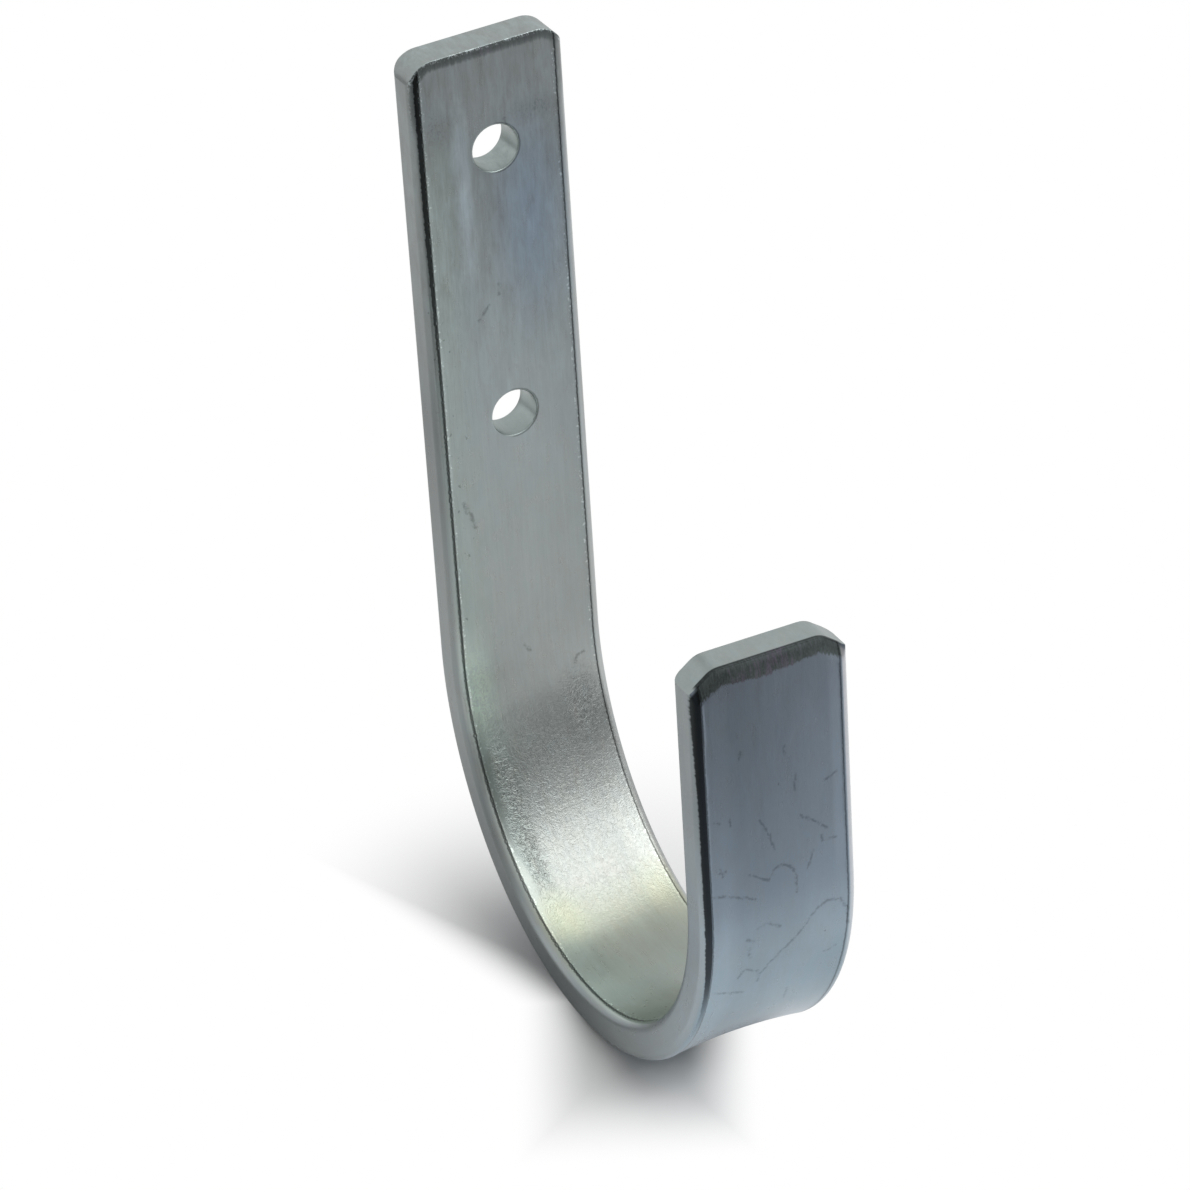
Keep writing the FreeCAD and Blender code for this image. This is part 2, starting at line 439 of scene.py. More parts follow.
def wobble(along, period, seed):
    """Seeded random swing along the bar, about plus and minus one."""
    longest, margin = 400.0, 20.0
    draw = np.random.default_rng(seed)
    knots = draw.uniform(-1.0, 1.0, int(longest / period) + 8)
    at = (along + margin) / period
    cell = np.floor(at).astype(int)
    share = smooth_step(at - cell, 0.0, 1.0)
    return knots[cell] * (1 - share) + knots[cell + 1] * share


def bead_wander(x, down, facing):
    """How far each of the four beads' borders swings from its line."""
    lane = np.where(x > 0, 1, 0) + np.where(facing > 0, 2, 0)
    swings = np.zeros(x.shape)
    for index in range(4):
        here = lane == index
        for period, share, seed in BEAD_SWINGS:
            swings[here] += wobble(down[here], period, seed + index) * share
    return swings * BEAD_WANDER


def shaped(x, down, depth, facing, route):
    """Depth after the rolls and the cropping die have marked the faces."""
    # The faces are rolled a little below a ragged bead inside each long edge.
    recess = 1.0 - smooth_step(np.abs(x) + bead_wander(x, down, facing), BEAD_START, BEAD_END)
    sunk = BEAD_HEIGHT * recess * (np.abs(facing) > 0.99)

    # The die rolls down the near face at each end, and rounds the cut's edges.
    top_in = inset_of(top_outline, x, down, TOP_CORNER - 0.01)
    tip_in = inset_of(tip_outline, x, route.length - down, TIP_BLEND - 0.01)
    edge = CUT_EDGE * (1.0 - smooth_step(np.abs(x), *CUT_EDGE_FADE))
    round_off = edge_round(np.minimum(top_in, tip_in), edge)
    top_sag = roll_sag(top_in, TOP_ROLL_LENGTH, TOP_ROLL_DEPTH)
    tip_sag = roll_sag(tip_in, TIP_ROLL_LENGTH, TIP_ROLL_DEPTH)
    inner = np.minimum(depth, BAR_THICKNESS - np.maximum(sunk, top_sag)) - round_off
    outer = np.maximum(depth, np.maximum(sunk, tip_sag)) + round_off
    return np.where(facing > 0, inner, np.where(facing < 0, outer, depth))


def saddle(x, down, route):
    """How far the bend has arched the section: its middle lies nearer the inside."""
    start, end = SHANK_LENGTH, route.tip_start
    there = smooth_step(down, start - SADDLE_BEFORE, start + SADDLE_AFTER)
    there = there * smooth_step(down, end + SADDLE_BEFORE, end - SADDLE_AFTER)
    return SADDLE * there * (1.0 - (2.0 * x / BAR_WIDTH) ** 2)


# The hook's mesh


def hole_rings():
    """Rings from a window in the inner face, over the rim and through to the outer face.

    Each is its share of the way out to the window's border, its radius and its depth.
    """
    rim_radius = HOLE_RADIUS + HOLE_RIM
    face, wall = BAR_THICKNESS - BEAD_HEIGHT, BEAD_HEIGHT
    rings = [(share, rim_radius + RIM_MARGIN, face) for share in RING_SHARES]
    for step in range(RIM_STEPS + 1):
        a = math.radians(90 * step / RIM_STEPS)
        rings.append((0.0, rim_radius - HOLE_RIM * math.sin(a), face - HOLE_RIM * (1 - math.cos(a))))
    bore = (face - HOLE_RIM - BORE_MARGIN, BREAKOUT_LENGTH + BORE_MARGIN, BREAKOUT_LENGTH)
    rings += [(0.0, HOLE_RADIUS, depth) for depth in bore]
    wide = HOLE_RADIUS + BREAKOUT_WIDENING
    rings.append((0.0, wide, wall))
    return rings + [(share, wide + WALL_MARGIN, wall) for share in reversed(RING_SHARES)]


class BarMesh:
    """The bar as quads between corners that are (across, down the bar, depth)."""

    def __init__(self):
        self.route = Route()
        self.across, self.depth, self.facing, self.face_count, self.half_count = section()
        end = np.array(END_STEPS)
        inside = np.arange(END_ZONE, self.route.length - END_ZONE, STATION_STEP)
        self.along = np.concatenate([end, inside, self.route.length - end[::-1]])
        self.corners = []
        self.count = 0
        self.quads = []
        # Columns of the inner face beside both windows; those behind run the other way
        face = self.across[: self.face_count]
        self.left = int(np.argmin(np.abs(face - (HOLE_OFF_CENTRE - WINDOW))))
        self.right = int(np.argmin(np.abs(face - (HOLE_OFF_CENTRE + WINDOW))))
        self.behind = self.half_count + self.face_count - 1

    def add(self, corners):
        """Adds corners and returns their numbers."""
        self.corners.append(corners)
        numbers = np.arange(self.count, self.count + len(corners))
        self.count += len(corners)
        return numbers

    def join(self, one, other, closed=False, flipped=False):
        """Quads between two chains of corners."""
        for n in range(len(one) if closed else len(one) - 1):
            m = (n + 1) % len(one)
            quad = (one[n], other[n], other[m], one[m])
            self.quads.append(quad[::-1] if flipped else quad)

    def add_rows(self):
        """The section, repeated along the bar. Near each end the rows follow the cut."""
        rows, columns = len(self.along), len(self.across)
        x = np.tile(self.across, (rows, 1))
        down = np.tile(self.along[:, None], (1, columns))
        top_share = np.clip(1.0 - down / END_ZONE, 0.0, 1.0)
        tip_share = np.clip(1.0 - (self.route.length - down) / END_ZONE, 0.0, 1.0)
        down = down + top_outline(x, 0.0) * top_share - tip_outline(x, 0.0) * tip_share
        depth, facing = [np.tile(v, (rows, 1)) for v in (self.depth, self.facing)]
        depth = shaped(x, down, depth, facing, self.route)
        self.add(np.stack([v.ravel() for v in (x, down, depth)], axis=1))

    def rows_of_window(self, middle):
        """First and last row of the window round a hole."""
        return [int(np.argmin(np.abs(self.along - (middle + side * WINDOW)))) for side in (-1, 1)]

    def add_faces(self, windows):
        """Quads between the rows, but for the holes' windows."""
        columns = len(self.across)
        for i in range(len(self.along) - 1):
            open_row = any(first <= i < last for first, last in windows)
            for j in range(columns):
                in_front = self.left <= j < self.right
                at_back = self.behind - self.right <= j < self.behind - self.left
                if open_row and (in_front or at_back):
                    continue
                a, b, k = i * columns, (i + 1) * columns, (j + 1) % columns
                self.quads.append((a + j, b + j, b + k, a + k))

    def add_hole(self, middle, first, last):
        """Rings of quads from one window's border, through the hole, to the one behind."""
        columns = len(self.across)
        loop = [(first, j) for j in range(self.left, self.right)]
        loop += [(i, self.right) for i in range(first, last)]
        loop += [(last, j) for j in range(self.right, self.left, -1)]
        loop += [(i, self.left) for i in range(last, first, -1)]
        border_x = np.array([self.across[j] for _, j in loop]) - HOLE_OFF_CENTRE
        border_down = np.array([self.along[i] for i, _ in loop]) - middle
        turn = np.arctan2(border_down, border_x)
        reach = np.hypot(border_x, border_down)
        rings = [[i * columns + j for i, j in loop]]
        for share, radius, depth in hole_rings():
            r = reach * share + radius * (1 - share)
            x, down = HOLE_OFF_CENTRE + r * np.cos(turn), middle + r * np.sin(turn)
            rings.append(self.add(np.stack([x, down, np.full(len(loop), depth)], axis=1)))
        rings.append([i * columns + self.behind - j for i, j in loop])
        for one, other in zip(rings, rings[1:]):
            self.join(one, other, closed=True)

    def end_strips(self, start):
        """Corner numbers across a cut face, left to right, in strips from the inner to the
        outer face. Only the strips on both sides are whole so far."""
        columns, steps = len(self.across), len(SIDE_STEPS)
        last = self.face_count + CORNER_STEPS - 1
        upper = [j % columns for j in range(-CORNER_STEPS, last + 1)]
        lower = range(self.half_count + last, self.half_count - CORNER_STEPS - 1, -1)
        strips = [[start + one, start + other] for one, other in zip(upper, lower)]
        strips[0] = [start + self.half_count + last + steps - 1 - n for n in range(steps)]
        strips[-1] = [start + last + n for n in range(steps)]
        return strips

    def add_end(self, start, at_tip):
        """Closes the cut face whose row starts at this corner."""
        strips = self.end_strips(start)
        for n, strip in enumerate(strips[1:-1], 1):
            first, last = [self.corners[0][number] for number in strip]
            between_them = first + (last - first) * SIDE_STEPS[1:-1, None]
            strips[n] = [strip[0], *self.add(between_them), strip[1]]
        for one, other in zip(strips, strips[1:]):
            self.join(one, other, flipped=at_tip)

    def places(self):
        """All corners in metres, in the part's frame."""
        x, down, depth = np.concatenate(self.corners).T
        y, z = self.route.place(down, depth + saddle(x, down, self.route))
        return np.stack([x + BAR_CENTRE_X, y, z], axis=1) * MM


def hook_mesh(name):
    """The bar as one fine mesh of quads, the way the CAD model is made."""
    bar = BarMesh()
    bar.add_rows()
    middles = [TOP_Z - HOLE_PITCH / 2, TOP_Z + HOLE_PITCH / 2]
    windows = [bar.rows_of_window(middle) for middle in middles]
    bar.add_faces(windows)
    for middle, (first, last) in zip(middles, windows):
        bar.add_hole(middle, first, last)
    bar.add_end(0, at_tip=False)
    bar.add_end((len(bar.along) - 1) * len(bar.across), at_tip=True)
    mesh = bpy.data.meshes.new(name)
    mesh.from_pydata(bar.places().tolist(), [], bar.quads)
    mesh.validate()
    mesh.shade_smooth()
    mesh.set_sharp_from_angle(angle=math.radians(SHARP_ANGLE))
    return mesh


# Node maths, which adds to the tree that start_nodes opened last

tree = None


def start_nodes(owner):
    """Opens the nodes of a material or a world, and returns them."""
    global tree
    owner.use_nodes = True
    tree = owner.node_tree
    return tree.nodes


class Value:
    """A shader value that plain arithmetic works on."""

    def __init__(self, socket):
        self.socket = socket

    def __add__(self, other):
        return calc("ADD", self, other)

    def __sub__(self, other):
        return calc("SUBTRACT", self, other)

    def __rsub__(self, other):
        return calc("SUBTRACT", other, self)

    def __mul__(self, other):
        return calc("MULTIPLY", self, other)

    def __truediv__(self, other):
        return calc("DIVIDE", self, other)

    def __neg__(self):
        return calc("SUBTRACT", 0.0, self)

    __radd__ = __add__
    __rmul__ = __mul__


def feed(sockets, values):
    """Gives each socket its value, by a link or as a plain one."""
    for socket, value in zip(sockets, values):
        if isinstance(value, Value):
            tree.links.new(value.socket, socket)
        else:
            socket.default_value = value


def calc(operation, *values):
    """A value that the Math node works out."""
    node = tree.nodes.new("ShaderNodeMath")
    node.operation = operation
    feed(node.inputs, values)
    return Value(node.outputs[0])


def high(a, b):
    return calc("MAXIMUM", a, b)


def low(a, b):
    return calc("MINIMUM", a, b)


def size(a):
    return calc("ABSOLUTE", a)


def hypot(a, b):
    return calc("SQRT", a * a + b * b)


def ease(value, start, end, first=0.0, last=1.0):
    """Goes smoothly from first to last as the value goes from start to end."""
    node = tree.nodes.new("ShaderNodeMapRange")
    node.interpolation_type = "SMOOTHSTEP"
    feed(node.inputs, (value, start, end, first, last))
    return Value(node.outputs[0])


def between(value, start, end, soft):
    """1 while a value is between two limits, with soft borders."""
    return ease(value, start - soft, start + soft) * ease(value, end + soft, end - soft)


def blot(x, y, at, reach, peak=1.0):
    """Soft round spot about a place, reaching so far each way."""
    away = hypot((x - at[0]) / reach[0], (y - at[1]) / reach[1])
    return ease(away, 1.0, 0.0, 0.0, peak)


def vector(x, y, z):
    node = tree.nodes.new("ShaderNodeCombineXYZ")
    feed(node.inputs, (x, y, z))
    return Value(node.outputs[0])


def parts(value):
    """The three numbers of a vector."""
    node = tree.nodes.new("ShaderNodeSeparateXYZ")
    feed(node.inputs, (value,))
    return [Value(out) for out in node.outputs]


def vector_calc(operation, *values, out="Vector"):
    """A vector, or a number, that the Vector Math node works out."""
    node = tree.nodes.new("ShaderNodeVectorMath")
    node.operation = operation
    feed(node.inputs, values)
    return Value(node.outputs[out])


def scaled(colour, factor):
    """A colour or vector times a value."""
    node = tree.nodes.new("ShaderNodeVectorMath")
    node.operation = "SCALE"
    feed([node.inputs[0], node.inputs["Scale"]], (colour, factor))
    return Value(node.outputs[0])


def mix(first, second, share):
    """Mixes two colours, each a value or a plain colour."""
    node = tree.nodes.new("ShaderNodeMix")
    node.data_type = "RGBA"
    feed([node.inputs["Factor"]], [share])
    sockets = [s for s in node.inputs if s.type == "RGBA"]
    feed(sockets, [c if isinstance(c, Value) else (*c, 1.0) for c in (first, second)])
    return Value(next(s for s in node.outputs if s.type == "RGBA"))


def ramp(value, stops):
    """Colour by a value, through (value, colour) stops in rising order."""
    first = stops[0][0]
    span = stops[-1][0] - first
    node = tree.nodes.new("ShaderNodeValToRGB")
    feed(node.inputs, [(value - first) / span])
    elements = node.color_ramp.elements
    while len(elements) < len(stops):
        elements.new(0.5)
    for element, (at, colour) in zip(elements, stops):
        element.position = (at - first) / span
        element.color = (*colour, 1.0)
    return Value(node.outputs[0])


def noise(place, detail, roughness, warp=0.0):
    """Noise from 0 to 1, with features about 1 across."""
    node = tree.nodes.new("ShaderNodeTexNoise")
    names = ("Vector", "Scale", "Detail", "Roughness", "Distortion")
    feed([node.inputs[n] for n in names], (place, 1.0, detail, roughness, warp))
    return Value(node.outputs["Fac"])


def swing(place, detail, roughness, warp=0.0):
    """Noise that swings about zero, to about plus and minus one."""
    return (noise(place, detail, roughness, warp) - 0.5) * 3.0


def coordinates(kind):
    """The shaded point's coordinates of some kind, as three values."""
    node = tree.nodes.new("ShaderNodeTexCoord")
    return parts(Value(node.outputs[kind]))


def nearest_line(place, lines):
    """Distance to the nearest of some lines, each a chain of (across, along) points."""
    nearest = None
    for line in lines:
        for (ax, ay), (bx, by) in zip(line, line[1:]):
            run = (bx - ax, by - ay, 0.0)
            from_start = vector_calc("SUBTRACT", place, (ax, ay, 0.0))
            share = vector_calc("DOT_PRODUCT", from_start, run, out="Value")
            share = low(high(share / (run[0] ** 2 + run[1] ** 2), 0.0), 1.0)
            foot = scaled(run, share)
            gap = vector_calc("DISTANCE", from_start, foot, out="Value")
            nearest = gap if nearest is None else low(nearest, gap)
    return nearest


# The zinc plated steel


class Bar:
    """Where a shaded point is on the bar, in millimetres."""

    def __init__(self):
        x, y, z = [v / MM for v in coordinates("Object")]
        nx, ny, nz = coordinates("Normal")
        out_y = y - BEND_CENTRE_Y
        up_z = z - BEND_CENTRE_Z
        self.x = x - BAR_CENTRE_X
        self.y = y
        self.z = z
        angle = calc("ARCTAN2", high(-up_z, 0.0), out_y)
        # Distance along the bar: about -102 at the top end, 0 level with the
        # bend's centre, 124 level with it again and 165 at the tip
        self.along = angle * BEND_LINE_RADIUS - high(up_z, 0.0) * calc("SIGN", out_y)
        self.depth = BEND_LINE_RADIUS + BAR_THICKNESS / 2 - hypot(out_y, low(up_z, 0.0))
        sine, cosine = calc("SINE", angle), calc("COSINE", angle)
        inner = nz * sine - ny * cosine
        # How far the surface faces into the bend, out of it, either, sideways or endways
        self.inner = ease(inner, 0.3, 0.75)
        self.outer = ease(inner, -0.3, -0.75)
        self.wide = high(self.inner, self.outer)
        self.sides = ease(size(nx), 0.35, 0.8)
        self.ends = ease(size(ny * sine + nz * cosine), 0.6, 0.85)
        self.top_in, self.tip_in = self.from_top_cut(), self.from_tip_cut()
        self.near_top = ease(self.along, -90.0, -95.0)

    def from_top_cut(self):
        """Distance in from the cropped outline at the top end."""
        down = self.along - TOP_ALONG + self.x * math.tan(math.radians(TOP_LEAN))
        aside = high(size(self.x) - (BAR_WIDTH / 2 + DIE_GAP - TOP_CORNER), 0.0)
        return TOP_CORNER - hypot(aside, high(TOP_CORNER - down, 0.0))

    def from_tip_cut(self):
        """Distance in from the cropped outline at the tip."""
        down = TIP_ALONG - self.along
        slope = TIP_CLIP_HEIGHT / TIP_CLIP_WIDTH
        clip = down - (size(self.x) - (BAR_WIDTH / 2 - TIP_CLIP_WIDTH)) * slope
        return calc("SMOOTH_MIN", down, clip * math.cos(math.atan(slope)), 0.8)

    def from_hole(self):
        """Distance from the nearer screw hole's axis, and far more than that on the tip."""
        off_x = self.x - HOLE_OFF_CENTRE
        upper, lower = [hypot(off_x, self.z - side * HOLE_PITCH / 2) for side in (1, -1)]
        return low(upper, lower) + ease(self.y, -7.0, -9.0) * 100.0

    def at(self, across, along, through):
        """Place on the bar for a pattern of some size each way."""
        return vector(self.x / across, self.along / along, self.depth / through)


class Patterns:
    """Noise over the bar. Those that swing go to about plus and minus one."""

    def __init__(self, bar):
        self.streaks = swing(bar.at(0.55, 22.0, 0.9), 3.0, 0.6)
        self.fine_streaks = swing(bar.at(0.22, 7.0, 0.4), 2.0, 0.6)
        self.fringe = swing(bar.at(0.4, 3.5, 1.0), 2.0, 0.7)
        self.patches = swing(bar.at(6.0, 13.0, 7.0), 2.0, 0.55, 0.7)
        self.clouds = swing(bar.at(2.2, 4.0, 3.0), 3.0, 0.6, 0.8)
        self.smudges = swing(bar.at(1.3, 7.0, 3.0), 3.0, 0.65, 0.5)
        self.grain = swing(bar.at(0.62, 0.68, 0.62), 2.0, 0.75, 1.2)
        self.ragged = swing(bar.at(40.0, 0.7, 40.0), 4.0, 0.8)
        self.worms = size(swing(bar.at(0.9, 1.3, 0.9), 1.0, 0.5, 1.6))
        self.shear = swing(bar.at(0.5, 2.0, 3.0), 2.0, 0.6)
        self.specks = noise(bar.at(0.3, 0.4, 0.3), 1.0, 0.5)
        self.flecks = noise(bar.at(0.75, 1.1, 0.75), 1.0, 0.5)
        self.breaks = noise(bar.at(0.8, 0.8, 0.8), 2.0, 0.75)
        # The rolling streaks are weak on the tip's outer face
        self.lined = 1.0 - bar.outer * ease(bar.along, 80.0, 100.0) * 0.7


def zones(bar, rows):
    """Sum of soft zones, each a slope across the bar times a stretch along it."""
    total = 0.0
    for (start, full), (begin, end), soft, strength in rows:
        zone = ease(bar.x, start, full) * between(bar.along, begin, end, soft)
        total = total + zone * strength
    return total


def beading(bar, patterns):
    """Coarse grain in the bend: a dull lane at its left, a corner, and all of it."""
    lane = between(bar.x + patterns.clouds * 0.7, -9.6, -6.4, soft=0.9)
    lane = lane * between(bar.along, 13.0, 40.0, soft=5.0)
    corner = blot(bar.x, bar.along, at=(7.5, 11.5), reach=(6.0, 10.0))
    rest = between(bar.along + patterns.clouds * 2.0, 10.0, 47.0, soft=7.0)
    rest = rest * ease(bar.x + patterns.clouds * 0.5, -10.6, -9.2)
    return lane, corner, high(high(lane * 1.25, corner * 1.1), rest * 0.48) * bar.inner


def inner_face(bar, patterns, lane, corner):
    """Plate on the inner face: greener at its left, blue at its upper right, yellow in
    the bend, with pale veins at the left where the bend starts. Over it lie a painted
    sheen down the upper shank, painted shade towards the shank's right, and zones of
    painted light for the bend's highlights."""
    colour = ramp(bar.along, INNER_TINTS_AND_PAINTED_LIGHT)
    blue = blot(bar.x, bar.along, at=(5.5, -74.0), reach=(9.0, 26.0))
    colour = mix(colour, UPPER_BLUE, blue * 0.8)
    green = ease(bar.x, -4.0, -10.0) * ease(bar.along, -95.0, -80.0)
    colour = mix(colour, LEFT_GREEN, green * 0.45)
    # Painted sheen: a light streak down the upper shank
    sheen = blot(bar.x + patterns.clouds * 0.4, bar.along, at=(-5.0, -80.0), reach=(2.2, 24.0))
    colour = mix(colour, PAINTED_SHEEN_COLOUR, sheen * 0.7)
    # Painted shade: the shank darker towards its right
    on_shank = ease(bar.along, 4.0, -8.0) * ease(bar.along, -80.0, -45.0)
    colour = scaled(colour, 1.0 - bar.x * (0.003 + on_shank * 0.009))
    # Painted light in zones of the face
    colour = scaled(colour, 1.0 + zones(bar, INNER_PAINTED_LIGHT))
    yellow_left = blot(bar.x, bar.along, at=(-8.0, 46.0), reach=(5.5, 9.0))
    yellow_right = blot(bar.x, bar.along, at=(9.0, 46.0), reach=(6.0, 9.0), peak=0.7)
    colour = mix(colour, BEND_YELLOW, high(yellow_left, yellow_right) * 0.75)
    colour = scaled(colour, 1.0 - lane * 0.13 - corner * 0.12)
    veined = blot(bar.x + patterns.clouds, bar.along, at=(-9.3, 3.5), reach=(4.0, 11.0), peak=1.2)
    veined = veined * bar.inner * ease(patterns.worms, 0.34, 0.08)
    return mix(colour, vector_calc("MULTIPLY", colour, VEIN_GAIN), veined)


def outer_face(bar):
    """Plate on the outer face, with painted light along its left and in a line by its right edge."""
    line = between(bar.x, 9.1, 10.9, soft=0.5) * ease(bar.along, 120.0, 134.0)
    lighter = line * 0.14 + zones(bar, OUTER_PAINTED_LIGHT)
    return scaled(ramp(bar.along, OUTER_TINTS_AND_PAINTED_SHADE), 1.0 + lighter)


def clean_plate(bar, patterns, lane, corner):
    """Colour of the plate on all faces, with its painted light and shade, before dirt, wear and the
    painted shade and highlights on its edges.
    """
    colour = mix(inner_face(bar, patterns, lane, corner), outer_face(bar), bar.outer)
    colour = mix(colour, ramp(bar.along, SIDE_TINTS_AND_PAINTED_LIGHT), bar.sides)
    colour = mix(colour, END_COLOUR, bar.ends)
    # The passivate's tint swings a little between warm and green
    mottle = patterns.clouds * 0.6 + patterns.smudges * 0.5
    tint = vector(1.0 - mottle * 0.07, 1.0 - mottle * 0.02, 1.0 + mottle * 0.01)
    return vector_calc("MULTIPLY", colour, tint)


def dust(bar, patterns):
    """How much two dusty spots at the top darken the inner face."""
    clouds, specks = patterns.clouds, patterns.specks
    left = blot(bar.x + clouds, bar.along, at=(-8.6, -91.5), reach=(3.4, 5.0))
    right = blot(bar.x + clouds, bar.along + clouds, at=(7.0, -91.0), reach=(6.0, 3.0))
    smeared = ease(patterns.smudges + patterns.fine_streaks * 0.5, -0.3, 0.7)
    strength = smeared * 0.22 + ease(specks, 0.52, 0.66) * 0.16 + 0.06
    return high(left, right) * bar.inner * strength


def tone(bar, patterns, beads):
    """How light the plate is, from its streaks, clouds, smudges, grain and dust."""
    upper = ease(bar.along, -25.0, -80.0)
    rolled = patterns.streaks * 0.04 + patterns.fine_streaks * 0.035
    shade = 1.0 + rolled * patterns.lined + patterns.patches * 0.05
    shade = shade + patterns.clouds * (0.035 + upper * 0.07)
    shade = shade + patterns.smudges * (0.035 + upper * 0.15)
    shade = shade + patterns.fringe * upper * bar.inner * 0.08
    shade = shade + patterns.grain * (0.02 + beads * 0.48)
    return shade - dust(bar, patterns)


def with_bores(colour, bar, patterns, shade):
    """Shades the plate, adds the bores, clean and pale since they are cut after rolling,
    and darkens a line at the right of each rim."""
    from_hole = bar.from_hole()
    bore = ease(from_hole, HOLE_RADIUS + 0.25, HOLE_RADIUS + 0.05)
    rim = HOLE_RADIUS + 0.16
    rim_darkening = between(from_hole + patterns.grain * 0.05, rim, rim + HOLE_RIM, soft=0.07)
    rim_darkening = rim_darkening * bar.inner * ease(bar.x + patterns.ragged, -0.6, 0.9)
    return scaled(mix(colour, BORE_COLOUR, bore), shade - rim_darkening * 0.4)


def die_scuffs(bar, patterns):
    """Where the cropping die scuffed the faces that it rolled down."""
    length = 3.0 - size(bar.x + 1.5) * 0.11 + patterns.fringe * 0.5
    tip = ease(bar.tip_in, length + 0.25, length - 0.15) * bar.outer
    tip = high(tip, ease(bar.tip_in, 0.4, 0.3) * ease(bar.depth, 1.25, 1.05))
    tip = tip * ease(size(bar.x), 11.9, 11.1) * ease(bar.along, 150.0, 156.0)
    top = ease(bar.top_in + patterns.fringe * 0.3, 1.7, 1.1) * bar.inner * bar.near_top
    return high(tip, top * 0.6)


def with_scuffs(colour, bar, patterns, scuffs):
    """Adds the die's scuffs, in streaks along its pull, and a painted highlight along the top cut."""
    light = 0.95 - ease(bar.x, 0.0, -9.0) * 0.25 + patterns.fringe * 0.30
    light = light + patterns.fine_streaks * 0.15 + (patterns.specks - 0.5) * 0.5
    violet = ease(patterns.patches + patterns.fringe, -0.2, 0.7) * ease(size(bar.x), 9.0, 5.0)
    rounding = ease(bar.tip_in, 0.25, 0.12) * ease(bar.depth, 1.15, 1.0)
    light = high(light, 0.2) * (1.0 - rounding * 0.45)
    colour = mix(colour, scaled(mix(SCUFF_GREEN, SCUFF_VIOLET, violet), light), scuffs)
    # Painted highlight: a broken pale line along the top cut's edge
    line = ease(bar.top_in + patterns.fringe * 0.1, 0.55, 0.2) * bar.inner * bar.near_top
    line = line * ease(patterns.specks + patterns.fringe * 0.1, 0.50, 0.60)
    return scaled(colour, 1.0 + line * 1.6)


def with_crease_shade_and_edge_highlight(colour, bar, patterns):
    """Adds painted shade along the crease inside each long edge, pale ticks beside it, and
    a painted highlight along the right edge, most of all on the tip."""
    # Painted shade along the crease inside each long edge
    off = size(bar.x) - CREASE_X + patterns.ragged * 0.12
    crease = ease(size(off), 0.20, 0.06) * bar.wide * ease(patterns.ragged, -1.1, 0.1, 0.35, 1.0)
    ticks = between(off, -0.55, -0.1, soft=0.08) * ease(patterns.specks, 0.60, 0.68) * bar.inner
    colour = scaled(colour, 1.0 - crease * (0.55 + bar.inner * 0.2))
    # Painted highlight along the right edge, brightest on the tip's outer face
    tip_edge_highlight = bar.outer * ease(bar.along, 104.0, 120.0) * ease(bar.tip_in, 0.1, 0.8) * 0.6
    edge_highlight = (bar.inner * 0.25 + tip_edge_highlight) * ease(bar.x, 11.2, 11.45)
    edge_highlight = edge_highlight * (1.0 + patterns.ragged * 0.15)
    colour = scaled(mix(colour, EDGE_HIGHLIGHT_COLOUR, edge_highlight * 0.9), 1.0 + edge_highlight)
    return scaled(colour, 1.0 + ticks * 0.7)


def painted_edge_shade(bar, patterns):
    """Painted shade: the dark edge down the tip's left, and the thinner one down the shank's."""
    start = ease(bar.along, 160.0, 140.0, -12.42, -12.1) + ease(bar.along, 122.0, 104.0, 0.0, 0.4)
    start = start + patterns.ragged * 0.14
    tip = ease(bar.x, start - 0.08, start + 0.08) * ease(bar.x, -11.06, -11.18)
    tip = tip * ease(bar.depth, 2.2, 1.4) * ease(bar.along, 98.0, 116.0)
    tip = tip * ease(bar.tip_in, 0.15, 0.5)
    start = ease(bar.along, -78.0, -48.0, -11.75, -11.33)
    shank = between(bar.x + patterns.ragged * 0.2, start, -11.05, soft=0.06)
    shank = shank * ease(bar.depth, 4.0, 5.0) * ease(bar.top_in, 0.1, 0.4)
    return tip, shank * ease(bar.tip_in, 0.3, 0.8)


def scratches(bar, patterns):
    """Hairlines and nicks, wavering and broken up, and the flecks among them."""
    across = bar.x + patterns.clouds * 0.35 + patterns.grain * 0.10
    along = bar.along - patterns.patches * 0.4 + patterns.grain * 0.10
    spot = vector(across, along, 0.0)
    broken = ease(patterns.breaks, 0.30, 0.62, 0.25, 1.0)
    faint = (1.0 - broken) * 0.25
    tip = ease(nearest_line(spot, TIP_SCRATCHES) + faint, 0.46, 0.0) * bar.outer
    back = ease(nearest_line(spot, INNER_SCRATCHES) + faint, 0.5, 0.0) * bar.inner
    pitted = ease(bar.x, -5.5, -8.5) * between(bar.along, -66.0, -6.0, soft=8.0) * bar.inner
    flecks = ease(patterns.flecks + pitted * 0.10, 0.79, 0.84) * bar.wide
    return high(high(tip * broken * 0.34, back * broken * 0.38), flecks * 0.3)


def bump(bar, patterns, beads):
    """The surface's fine relief in millimetres, as a bent normal."""
    height = patterns.grain * (0.0016 + beads * 0.034)
    height = height + (patterns.streaks * 0.0022 + patterns.fine_streaks * 0.0010) * patterns.lined
    height = height + patterns.patches * 0.010 + patterns.smudges * 0.003
    node = tree.nodes.new("ShaderNodeBump")
    feed([node.inputs[n] for n in ("Strength", "Distance", "Height")], (1.0, MM, height))
    return Value(node.outputs[0])


